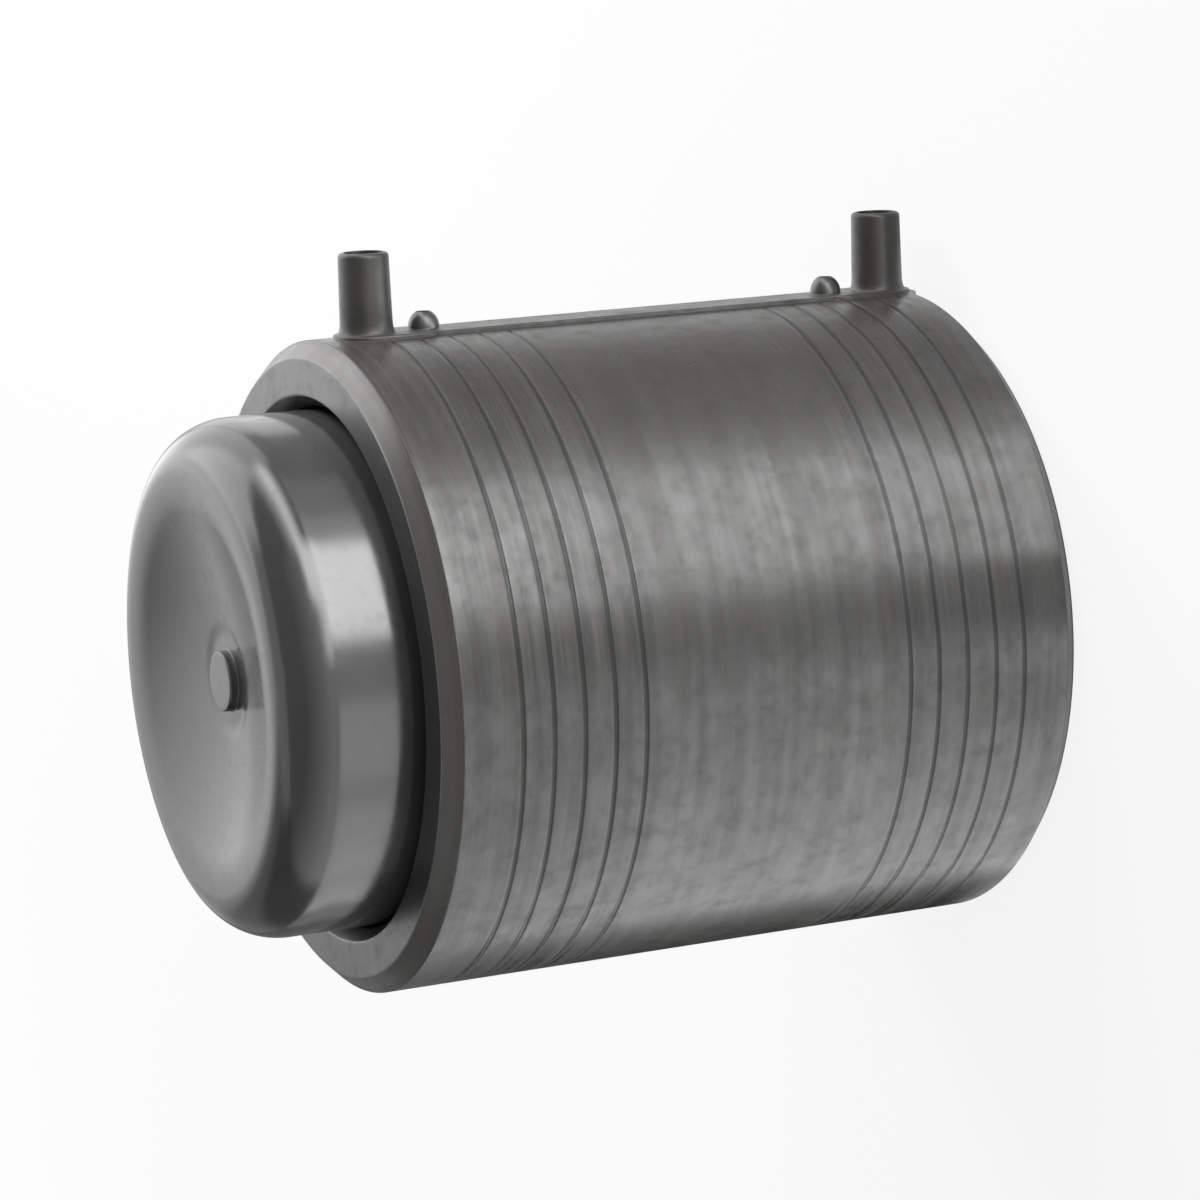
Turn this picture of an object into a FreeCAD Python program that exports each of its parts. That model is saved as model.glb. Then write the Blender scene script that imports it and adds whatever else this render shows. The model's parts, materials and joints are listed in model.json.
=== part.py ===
import FreeCAD, Part
import math
import os
from FreeCAD import Vector

# Electrofusion end cap for a polyethylene pipe: a coupler with a spigot end cap in its upper socket.
# The origin is the centre of the open end face. +Z runs along the axis to the closed end, and +X
# points at the two terminals. Every size is in millimetres.

# Pipe and sockets
pipe_diameter = 125.0
pipe_clearance = 0.6        # radial gap between the pipe, or the end cap's spigot, and the bore

# Coupler sleeve
sleeve_diameter = 158.0
sleeve_length = 165.0
edge_chamfer = 4.0          # both outer edges, axial and radial
lead_in_length = 4.0        # widening at the mouth of each socket
lead_in_depth = 3.0
stop_thickness = 3.0        # rib round the bore at mid length that stops the pipe
stop_height = 4.0

# Ring grooves outside, one set over each fusion zone
groove_count = 5
groove_pitch = 7.7
groove_from_open_end = 16.1  # from the open end face to the first groove
groove_from_cap_end = 18.6  # from the sleeve's other end face to the nearest groove
groove_width = 1.3
groove_depth = 0.55

# Terminals
terminal_from_open_end = 10.8  # from the open end face to the terminal's axis
terminal_from_cap_end = 16.0  # from the sleeve's other end face to the terminal's axis
rim_height = 20.3           # from the sleeve's surface to the shroud's rim
shroud_rim_diameter = 12.2
shroud_foot_diameter = 12.8
shroud_bore_diameter = 9.5
shroud_bore_depth = 15.0
shroud_rim_rounding = 0.8
shroud_foot_rounding = 1.2
pin_diameter = 4.0
pin_below_rim = 4.5
pin_tip_chamfer = 0.7
pin_root_diameter = 4.8     # the part held in the plastic, up to the shroud's floor
pin_flange_diameter = 7.0
pin_flange_thickness = 1.6
pin_flange_depth = 2.0      # plastic over the flange, under the shroud's floor
pin_tail_diameter = 3.0
pin_tail_above_bore = 9.4   # from the bore's wall to the tail's end

# Fusion indicators
indicator_spacing = 14.7    # from the terminal's axis to the indicator's axis
collar_diameter = 7.4
collar_height = 5.6         # above the sleeve's surface
collar_rounding = 2.0
indicator_diameter = 3.2
indicator_running_gap = 0.05
indicator_tip_rounding = 0.5
indicator_below_collar = 0.9
indicator_above_bore = 6.4  # from the bore's wall to the floor of the hole

# Pads under the terminals, and the label land between them
pad_width = 16.4
pad_height = 0.9
pad_rounding = 0.5
pad_overlap = 1.0           # how far the pad reaches past the collar and the shroud
land_width = 13.5
land_height = 0.8
land_bevel = 0.3
root_depth = 2.5            # how far raised forms reach into the sleeve

# Spigot end cap
cap_wall = 11.4
cap_rise = 31.3             # from the sleeve's upper face to the cap's rim
cap_edge_radial = 11.8      # rounding from the spigot to the rim
cap_edge_axial = 14.0
cap_dish_depth = 8.1
cap_rim_rounding = 2.2
cap_face_thickness = 13.0
cap_inner_rounding = 14.0
cap_spigot_chamfer = 1.5
gate_diameter = 14.6
gate_height = 2.5
gate_rounding = 0.5

# Heating wire
wire_diameter = 1.0
wire_proud = 0.22           # how far the wire shows out of the bore's wall
coil_turns = 10
coil_pitch = 3.4
wire_bend = 3.0             # bend from the coil into the lead that rises to the pin
wire_flats = 8              # sides of the wire's section, which has the area of the round wire

# Worked out from the sizes above
sleeve_radius = sleeve_diameter / 2
pipe_radius = pipe_diameter / 2
bore_radius = pipe_radius + pipe_clearance
middle = sleeve_length / 2
stop_low = middle - stop_thickness / 2
stop_high = middle + stop_thickness / 2
rim_x = sleeve_radius + rim_height
shroud_floor_x = rim_x - shroud_bore_depth
collar_top_x = sleeve_radius + collar_height
indicator_floor_x = bore_radius + indicator_above_bore
pin_tail_x = bore_radius + pin_tail_above_bore
root_x = sleeve_radius - root_depth
terminals = {
    "pipe_side": (terminal_from_open_end, 1),
    "cap_side": (sleeve_length - terminal_from_cap_end, -1),
}
indicators = {side: z + inward * indicator_spacing for side, (z, inward) in terminals.items()}

ORIGIN = Vector(0, 0, 0)
AXIS_X = Vector(1, 0, 0)
AXIS_Z = Vector(0, 0, 1)


def polygon_face(points):
    """A flat face through the points, each given as (radius or x, z) in the XZ plane."""
    corners = [Vector(x, 0, z) for x, z in points]
    return Part.Face(Part.makePolygon(corners + corners[:1]))


def turned(face):
    """The solid that a face in the XZ plane sweeps in one turn about the Z axis."""
    return face.revolve(ORIGIN, AXIS_Z, 360)


def rod(radius, low_x, high_x, z):
    """A plain cylinder along X at height z."""
    return Part.makeCylinder(radius, high_x - low_x, Vector(low_x, 0, z), AXIS_X)


def edges_at_x(shape, x):
    """The shape's edges that lie in the plane at x."""
    plane_gap = 0.01
    boxes = [(edge, edge.BoundBox) for edge in shape.Edges]
    return [e for e, box in boxes if abs(box.XMin - x) < plane_gap and abs(box.XMax - x) < plane_gap]


def groove_heights():
    """The heights of the ring grooves on both halves of the sleeve."""
    steps = [i * groove_pitch for i in range(groove_count)]
    lower = [groove_from_open_end + step for step in steps]
    upper = [sleeve_length - groove_from_cap_end - step for step in reversed(steps)]
    return lower + upper


def sleeve():
    """The turned sleeve: bore with its stop rib, lead-in chamfers, bevelled edges and ring grooves."""
    mouth_radius = bore_radius + lead_in_depth
    rib_radius = bore_radius - stop_height
    points = [
        (bore_radius, stop_high),
        (rib_radius, stop_high),
        (rib_radius, stop_low),
        (bore_radius, stop_low),
        (bore_radius, lead_in_length),
        (mouth_radius, 0),
        (sleeve_radius - edge_chamfer, 0),
        (sleeve_radius, edge_chamfer),
    ]
    half = groove_width / 2
    for z in groove_heights():
        points += [
            (sleeve_radius, z - half),
            (sleeve_radius - groove_depth, z - half / 2),
            (sleeve_radius - groove_depth, z + half / 2),
            (sleeve_radius, z + half),
        ]
    points += [
        (sleeve_radius, sleeve_length - edge_chamfer),
        (sleeve_radius - edge_chamfer, sleeve_length),
        (mouth_radius, sleeve_length),
        (bore_radius, sleeve_length - lead_in_length),
    ]
    return turned(polygon_face(points))


def pad(z, inward):
    """The long pad under one shroud and its indicator collar, with rounded ends."""
    half = pad_width / 2
    far = z + inward * (indicator_spacing + collar_diameter / 2 + pad_overlap - half)
    low, high = min(z, far), max(z, far)
    top = sleeve_radius + pad_height
    depth = top - root_x
    block = Part.makeBox(depth, pad_width, high - low, Vector(root_x, -half, low))
    shape = block.fuse([rod(half, root_x, top, low), rod(half, root_x, top, high)]).removeSplitter()
    return shape.makeFillet(pad_rounding, edges_at_x(shape, top))


def shroud(z):
    """The tapered outside of a terminal shroud, with a flared foot and a rounded rim."""
    foot = shroud_foot_diameter / 2
    rim = shroud_rim_diameter / 2
    base_x = sleeve_radius + pad_height
    flare = shroud_foot_rounding
    round_off = shroud_rim_rounding
    quarter = math.sqrt(0.5)
    start = Vector(base_x, foot + flare, 0)
    bend = Vector(base_x + flare * (1 - quarter), foot + flare * (1 - quarter), 0)
    end = Vector(base_x + flare, foot, 0)
    side_top = Vector(rim_x - round_off, rim, 0)
    rim_mid = Vector(rim_x - round_off * (1 - quarter), rim - round_off * (1 - quarter), 0)
    rim_end = Vector(rim_x, rim - round_off, 0)
    edges = [
        Part.makeLine(Vector(root_x, 0, 0), Vector(root_x, foot + flare, 0)),
        Part.makeLine(Vector(root_x, foot + flare, 0), start),
        Part.Arc(start, bend, end).toShape(),
        Part.makeLine(end, side_top),
        Part.Arc(side_top, rim_mid, rim_end).toShape(),
        Part.makeLine(rim_end, Vector(rim_x, 0, 0)),
        Part.makeLine(Vector(rim_x, 0, 0), Vector(root_x, 0, 0)),
    ]
    solid = Part.Face(Part.Wire(edges)).revolve(ORIGIN, AXIS_X, 360)
    solid.translate(Vector(0, 0, z))
    return solid


def collar(z):
    """The rounded collar around one fusion indicator."""
    shape = rod(collar_diameter / 2, root_x, collar_top_x, z)
    return shape.makeFillet(collar_rounding, edges_at_x(shape, collar_top_x))


def label_land():
    """The flat raised land between the two pads, its long edges bevelled."""
    low = indicators["pipe_side"]
    high = indicators["cap_side"]
    half = land_width / 2
    top = sleeve_radius + land_height
    points = [
        Vector(root_x, -half, low),
        Vector(top - land_bevel, -half, low),
        Vector(top, -half + land_bevel, low),
        Vector(top, half - land_bevel, low),
        Vector(top - land_bevel, half, low),
        Vector(root_x, half, low),
    ]
    return Part.Face(Part.makePolygon(points + points[:1])).extrude(Vector(0, 0, high - low))


def terminal_pin(z):
    """A turned contact pin: tip, shank, root, anchoring flange and the tail that takes the wire."""
    shank = pin_diameter / 2
    root = pin_root_diameter / 2
    tail = pin_tail_diameter / 2
    flange = pin_flange_diameter / 2
    tip_x = rim_x - pin_below_rim
    flange_top = shroud_floor_x - pin_flange_depth
    flange_low = flange_top - pin_flange_thickness
    points = [
        (pin_tail_x, 0),
        (pin_tail_x, tail),
        (flange_low, tail),
        (flange_low, flange),
        (flange_top, flange),
        (flange_top, root),
        (shroud_floor_x, root),
        (shroud_floor_x, shank),
        (tip_x - pin_tip_chamfer, shank),
        (tip_x, shank - pin_tip_chamfer),
        (tip_x, 0),
    ]
    corners = [Vector(x, y, 0) for x, y in points]
    solid = Part.Face(Part.makePolygon(corners + corners[:1])).revolve(ORIGIN, AXIS_X, 360)
    solid.translate(Vector(0, 0, z))
    return solid


def indicator_pin(z):
    """The small pin that rises out of its collar when the joint is fused."""
    radius = indicator_diameter / 2
    top = collar_top_x - indicator_below_collar
    shape = rod(radius, indicator_floor_x, top, z)
    return shape.makeFillet(indicator_tip_rounding, edges_at_x(shape, top))


def coupler_body(pins):
    """The moulded sleeve with everything that stands on it, bored for the pins it holds."""
    added = [label_land()]
    cuts = list(pins)
    for side, (z, inward) in terminals.items():
        indicator_z = indicators[side]
        hole_radius = indicator_diameter / 2 + indicator_running_gap
        added += [pad(z, inward), shroud(z), collar(indicator_z)]
        cuts.append(rod(shroud_bore_diameter / 2, shroud_floor_x, rim_x + 1, z))
        cuts.append(rod(hole_radius, indicator_floor_x, collar_top_x + 1, indicator_z))
    body = sleeve().fuse(added).removeSplitter()
    for tool in cuts:
        body = body.cut(tool)
    return body


def curve_edge(points, middle_weight):
    """A smooth edge in the XZ plane through its end points, pulled to the middle point."""
    curve = Part.BezierCurve()
    curve.setPoles([Vector(x, 0, z) for x, z in points])
    curve.setWeight(2, middle_weight)
    return curve.toShape()


def line_edge(start, end):
    """A straight edge in the XZ plane."""
    return Part.makeLine(Vector(start[0], 0, start[1]), Vector(end[0], 0, end[1]))


def end_cap():
    """The spigot end cap, turned about Z: straight spigot, rounded edge, dished face, gate stub."""
    quarter_turn = math.sqrt(0.5)
    low = stop_high
    outer = pipe_radius
    inner = outer - cap_wall
    rim_z = sleeve_length + cap_rise
    crest = outer - cap_edge_radial
    shoulder_z = rim_z - cap_edge_axial
    floor_z = rim_z - cap_dish_depth
    ceiling_z = floor_z - cap_face_thickness

    # the dish is part of a sphere through the middle of its floor and the inside of the rim
    dish_corner = crest - cap_rim_rounding
    sphere = (dish_corner ** 2 + cap_dish_depth ** 2) / (2 * cap_dish_depth)

    def dish_z(radius):
        return floor_z + sphere - math.sqrt(sphere ** 2 - radius ** 2)

    dish_edge = dish_corner - cap_rim_rounding
    slope = dish_edge / math.sqrt(sphere ** 2 - dish_edge ** 2)
    meeting = dish_edge + (rim_z - dish_z(dish_edge)) / slope
    gate = gate_diameter / 2
    gate_top = floor_z + gate_height
    halfway = (gate + dish_edge) / 2
    dish = Part.Arc(
        Vector(dish_edge, 0, dish_z(dish_edge)),
        Vector(halfway, 0, dish_z(halfway)),
        Vector(gate, 0, dish_z(gate)),
    )
    edges = [
        line_edge((inner, low), (outer - cap_spigot_chamfer, low)),
        line_edge((outer - cap_spigot_chamfer, low), (outer, low + cap_spigot_chamfer)),
        line_edge((outer, low + cap_spigot_chamfer), (outer, shoulder_z)),
        curve_edge([(outer, shoulder_z), (outer, rim_z), (crest, rim_z)], quarter_turn),
        curve_edge([(crest, rim_z), (meeting, rim_z), (dish_edge, dish_z(dish_edge))], 1),
        dish.toShape(),
        line_edge((gate, dish_z(gate)), (gate, gate_top - gate_rounding)),
        curve_edge(
            [(gate, gate_top - gate_rounding), (gate, gate_top), (gate - gate_rounding, gate_top)],
            quarter_turn,
        ),
        line_edge((gate - gate_rounding, gate_top), (0, gate_top)),
        line_edge((0, gate_top), (0, ceiling_z)),
        line_edge((0, ceiling_z), (inner - cap_inner_rounding, ceiling_z)),
        curve_edge(
            [
                (inner - cap_inner_rounding, ceiling_z),
                (inner, ceiling_z),
                (inner, ceiling_z - cap_inner_rounding),
            ],
            quarter_turn,
        ),
        line_edge((inner, ceiling_z - cap_inner_rounding), (inner, low)),
    ]
    return turned(Part.Face(Part.Wire(edges)))


def helix(pitch, height, radius, start_angle, start_z):
    """A right-handed helix about Z from the given angle, in degrees, and height."""
    wire = Part.makeLongHelix(pitch, height, radius, 0)
    wire.rotate(ORIGIN, AXIS_Z, start_angle)
    wire.translate(Vector(0, 0, start_z))
    return wire.Edges


def lead_edges(radius, angle, slope, z, side):
    """The lead from a pin's tail, straight down and round a bend into the coil.

    side is 1 where the coil leaves the bend towards +Y and -1 where it arrives from -Y.
    """
    run = Vector(-math.sin(angle) * math.cos(slope), side * math.cos(angle) * math.cos(slope), 0)
    run.z = side * math.sin(slope)
    reach = radius * math.tan(angle) / math.cos(slope)
    corner = Vector(radius / math.cos(angle), 0, z)
    above = corner + AXIS_X * reach
    beside = corner + run * reach
    towards = (AXIS_X + run).normalize()
    half_angle = AXIS_X.getAngle(run) / 2
    mid = corner + towards * (reach / math.cos(half_angle) - reach * math.tan(half_angle))
    tail = Vector(pin_tail_x, 0, z)
    bend = Part.Arc(above, mid, beside).toShape()
    return [Part.makeLine(tail, above), bend], beside


def wire_section(centre, radius):
    """A polygon across X with the area of a circle of that radius."""
    step = 2 * math.pi / wire_flats
    corner = radius * math.sqrt(step / math.sin(step))
    points = []
    for i in range(wire_flats):
        angle = i * step
        points.append(centre + Vector(0, corner * math.cos(angle), corner * math.sin(angle)))
    return Part.makePolygon(points + points[:1])


def heating_wire():
    """One wire: lead, coil, one long turn across the middle, coil, lead."""
    wire_radius = wire_diameter / 2
    radius = bore_radius + wire_radius - wire_proud
    angle = math.atan(wire_bend / radius)
    slope = math.atan(coil_pitch / (2 * math.pi * radius))
    turn = math.degrees(angle)
    first_lead, first_start = lead_edges(radius, angle, slope, terminals["pipe_side"][0], 1)
    last_lead, last_end = lead_edges(radius, angle, slope, terminals["cap_side"][0], -1)
    coil_height = coil_turns * coil_pitch
    bridge_low = first_start.z + coil_height
    bridge_height = last_end.z - coil_height - bridge_low
    bridge_turns = (360 - 2 * turn) / 360
    path = list(first_lead)
    path += helix(coil_pitch, coil_height, radius, turn, first_start.z)
    path += helix(bridge_height / bridge_turns, bridge_height, radius, turn, bridge_low)
    path += helix(coil_pitch, coil_height, radius, -turn, bridge_low + bridge_height)
    path += last_lead
    tail = Vector(pin_tail_x, 0, terminals["pipe_side"][0])
    section = wire_section(tail, wire_radius)
    return Part.Wire(Part.__sortEdges__(path)).makePipeShell([section], True, True)


def main():
    nodes = {"end_cap": end_cap(), "heating_wire": heating_wire()}
    pins = []
    for side, (z, _) in terminals.items():
        pin = terminal_pin(z)
        pins.append(pin)
        nodes["terminal_pin_" + side] = pin
        nodes["indicator_pin_" + side] = indicator_pin(indicators[side])
    nodes["coupler_body"] = coupler_body(pins)
    os.makedirs("parts", exist_ok=True)
    for name, shape in nodes.items():
        shape.exportStep("parts/" + name + ".step")
        print(name, len(shape.Solids), "solid", round(shape.Volume / 1000, 2), "cm3")


main()
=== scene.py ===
import bmesh
import bpy
import json
import math
from mathutils import Matrix, Vector


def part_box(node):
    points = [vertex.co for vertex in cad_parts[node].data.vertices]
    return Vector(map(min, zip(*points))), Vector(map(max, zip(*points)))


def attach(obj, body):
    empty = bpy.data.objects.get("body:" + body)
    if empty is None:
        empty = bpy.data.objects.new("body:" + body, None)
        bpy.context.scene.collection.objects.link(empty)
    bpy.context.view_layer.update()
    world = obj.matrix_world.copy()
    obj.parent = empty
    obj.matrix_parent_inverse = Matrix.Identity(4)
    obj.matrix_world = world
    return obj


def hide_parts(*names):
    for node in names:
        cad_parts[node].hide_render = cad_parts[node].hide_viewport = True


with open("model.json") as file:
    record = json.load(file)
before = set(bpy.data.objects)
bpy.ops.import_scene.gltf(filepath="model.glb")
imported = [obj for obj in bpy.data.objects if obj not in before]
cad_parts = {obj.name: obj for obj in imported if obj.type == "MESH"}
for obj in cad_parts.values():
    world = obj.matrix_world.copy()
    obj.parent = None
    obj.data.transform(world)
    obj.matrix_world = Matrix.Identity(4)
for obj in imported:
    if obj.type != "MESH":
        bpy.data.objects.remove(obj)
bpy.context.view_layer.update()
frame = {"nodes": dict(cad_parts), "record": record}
print("frame loaded, solids:", len(frame["nodes"]))

mm = 0.001
onAxis = 0.0001 * mm          # what is nearer to the axis than this is on it
fullTurn = 2 * math.pi

# what the frame says about places and sizes
mounts = {m["name"]: m for m in frame["record"]["mounts"]}
boreRadius = mounts["pipe_socket"]["dims"]["r_mm"] * mm
bodyLow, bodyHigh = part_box("coupler_body")
capLow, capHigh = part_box("end_cap")
sleeveRadius = -bodyLow.x
sleeveLength = bodyHigh.z
rimX = bodyHigh.x
sides = ("pipe_side", "cap_side")
terminalHeight = {side: mounts["terminal_" + side]["pos_m"][2] for side in sides}
pinMount = mounts["terminal_pipe_side"]
shroudFloorX = pinMount["pos_m"][0] - pinMount["dims"]["length_mm"] * mm / 2
indicatorHeight = {}
indicatorRadius = {}
for side in sides:
    low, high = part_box("indicator_pin_" + side)
    indicatorHeight[side] = (low.z + high.z) / 2
    indicatorRadius[side] = (high.z - low.z) / 2


# mesh tools

def evenAngles(count):
    return [fullTurn * i / count for i in range(count)]


def bend(start, corner, end, steps):
    # a smooth bend from start to end, pulled towards the corner
    start, corner, end = Vector(start), Vector(corner), Vector(end)
    made = []
    for i in range(steps + 1):
        t = i / steps
        made.append(start * (1 - t) ** 2 + corner * (2 * t * (1 - t)) + end * t ** 2)
    return made


def ellipsePoints(centre, across, up, startAngle, endAngle, steps):
    made = []
    for i in range(steps + 1):
        a = math.radians(startAngle + (endAngle - startAngle) * i / steps)
        made.append(Vector((centre[0] + across * math.cos(a), centre[1] + up * math.sin(a))))
    return made


def softPath(corners, steps, closed=False):
    # corners are (radius, height, rounding) in mm; a rounding of 0 keeps the corner sharp
    points = [Vector((r * mm, z * mm)) for r, z, rounding in corners]
    last = len(points) - 1
    made = []
    for i, point in enumerate(points):
        rounding = corners[i][2] * mm
        if rounding == 0 or (not closed and i in (0, last)):
            made.append(point)
            continue
        back = points[i - 1] - point
        ahead = points[(i + 1) % len(points)] - point
        reach = min(rounding, 0.45 * back.length, 0.45 * ahead.length)
        start = point + back.normalized() * reach
        end = point + ahead.normalized() * reach
        made += bend(start, point, end, steps)
    return made


def withGuards(points, gap, closed=False):
    # extra points close to both ends of each long straight stretch keep its shading flat
    gap *= mm
    made = []
    following = points[1:] + points[:1] if closed else points[1:]
    for a, b in zip(points, following):
        made.append(a)
        span = b - a
        if span.length > 4 * gap:
            made.append(a + span.normalized() * gap)
            made.append(b - span.normalized() * gap)
    if not closed:
        made.append(points[-1])
    return made


def turnedRings(path, angles):
    # rings about Z through the path's points; a point on the axis is a single vertex
    rings = []
    for radius, height in path:
        if radius < onAxis:
            rings.append([Vector((0, 0, height))])
        else:
            rings.append([Vector((radius * math.cos(a), radius * math.sin(a), height)) for a in angles])
    return rings


def skin(name, rings, closed=False, capEnds=False, openEnds=False, place=None):
    # faces between neighbouring rings; with openEnds the rings are lines that don't close
    bm = bmesh.new()
    made = [[bm.verts.new(p) for p in ring] for ring in rings]
    for low, high in zip(made, made[1:] + made[:1] if closed else made[1:]):
        count = max(len(low), len(high))
        for i in range(count - 1 if openEnds else count):
            j = (i + 1) % count
            if len(low) == 1:
                bm.faces.new((low[0], high[j], high[i]))
            elif len(high) == 1:
                bm.faces.new((low[i], low[j], high[0]))
            else:
                bm.faces.new((low[i], low[j], high[j], high[i]))
    if capEnds:
        bm.faces.new(made[0][::-1])
        bm.faces.new(made[-1])
    bmesh.ops.recalc_face_normals(bm, faces=bm.faces)
    mesh = bpy.data.meshes.new(name)
    bm.to_mesh(mesh)
    bm.free()
    if place is not None:
        mesh.transform(place)
    piece = bpy.data.objects.new(name, mesh)
    bpy.context.scene.collection.objects.link(piece)
    return piece


def alongX(height):
    # moves something turned about Z to stand along +X at this height
    return Matrix.Translation((0, 0, height)) @ Matrix.Rotation(math.pi / 2, 4, "Y")


def combine(target, tools, operation):
    for tool in tools:
        step = target.modifiers.new(operation.lower(), "BOOLEAN")
        step.operation = operation
        step.solver = "EXACT"
        step.object = tool
    graph = bpy.context.evaluated_depsgraph_get()
    mesh = bpy.data.meshes.new_from_object(target.evaluated_get(graph))
    target.modifiers.clear()
    target.data = mesh
    for tool in tools:
        bpy.data.objects.remove(tool)
    return target


def finishPiece(piece, body, material, nodes=(), sharpAngle=32):
    mesh = piece.data
    for face in mesh.polygons:
        face.use_smooth = True
    mesh.set_sharp_from_angle(angle=math.radians(sharpAngle))
    mesh.materials.clear()
    mesh.materials.append(material)
    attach(piece, body)
    if nodes:
        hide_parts(*nodes)
    print("piece done:", piece.name, "faces:", len(mesh.polygons))
    return piece


# material tools

def newMaterial(name):
    material = bpy.data.materials.new(name)
    material.use_nodes = True
    tree = material.node_tree
    return material, tree, tree.nodes["Principled BSDF"]


def put(tree, kind, values, **options):
    # adds a node; a value that is a socket is linked, and anything else is set
    made = tree.nodes.new("ShaderNode" + kind)
    for key, value in options.items():
        setattr(made, key, value)
    for key, value in values.items():
        if isinstance(value, bpy.types.NodeSocket):
            tree.links.new(value, made.inputs[key])
        else:
            made.inputs[key].default_value = value
    return made.outputs


def calc(tree, operation, a, b=0.0):
    return put(tree, "Math", {0: a, 1: b}, operation=operation)[0]


def times(tree, a, b):
    return calc(tree, "MULTIPLY", a, b)


def plus(tree, a, b):
    return calc(tree, "ADD", a, b)


def minus(tree, a, b):
    return calc(tree, "SUBTRACT", a, b)


def addUp(tree, layers):
    # the sum of heights, each with its share
    total = 0.0
    for height, share in layers:
        total = plus(tree, times(tree, height, share), total)
    return total


def fade(tree, value, low, high, toLow=0.0, toHigh=1.0):
    ranges = {"Value": value, "From Min": low, "From Max": high, "To Min": toLow, "To Max": toHigh}
    return put(tree, "MapRange", ranges, interpolation_type="SMOOTHSTEP")[0]


def tint(tree, factor, a, b):
    return put(tree, "Mix", {0: factor, 6: a, 7: b}, data_type="RGBA")[2]


def cloud(tree, vector, scale, detail, roughness):
    values = {"Vector": vector, "Scale": scale, "Detail": detail, "Roughness": roughness}
    return put(tree, "TexNoise", values)["Fac"]


def stretched(tree, vector, x, y, z):
    return put(tree, "VectorMath", {0: vector, 1: (x, y, z)}, operation="MULTIPLY")[0]


def place3d(tree):
    # object coordinates, and the distance from the fitting's axis
    vector = put(tree, "TexCoord", {})["Object"]
    flat = stretched(tree, vector, 1, 1, 0)
    radius = put(tree, "VectorMath", {0: flat}, operation="LENGTH")["Value"]
    return vector, radius


def bump(tree, shader, height, depth):
    normal = put(tree, "Bump", {"Height": height, "Distance": depth * mm, "Strength": 1.0})["Normal"]
    tree.links.new(normal, shader.inputs["Normal"])


def grey(value, warmth=0.0):
    return (value * (1 + warmth), value, value * (1 - warmth), 1)


# finishes

plasticIor = 1.52

turnedLook = {
    "base": 0.05,
    "patch": 0.033,           # darker cloudy patches
    "streak": 0.072,          # paler lines that run round the sleeve
    "groove": 0.034,          # painted shade in the ring grooves; the scratches take the same tone
    "worn": 0.085,            # rubbed edges
    "endFaceShade": 0.013,         # painted shade: the cut faces at both ends, darker than the wall
    "chamfer": 0.08,          # painted light: the chamfers round them, paler than the wall
    "warmth": 0.05,           # tint of the greys, towards red
    "patchShare": 0.6,        # how far each kind of mark changes the colour
    "mottleShare": 0.3,
    "bandShare": 0.45,
    "scoreShare": 0.35,
    "endPatchShare": 0.35,
    "zoneReach": 52,          # mm from each end that the turning marks are strongest
    "marksElsewhere": 0.25,   # what is left of the marks between them
    "roughness": 0.31,
    "raisedRoughness": 0.08,  # added on the pads, the shrouds and the label land
    "domeRoughness": 0.08,    # taken off the domes round the indicators
    "gloss": 0.62,
    "zoneGloss": 0.1,         # share of the gloss lost where the marks are strongest
    "grooveGloss": 0.48,      # share that the grooves lose
    "endGloss": 0.46,         # added on the end faces
    "raisedGloss": 0.1,       # taken off what is raised
    "domeGloss": 0.3,         # added on the domes
    "bumpDepth": 0.03,        # mm
}


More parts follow.
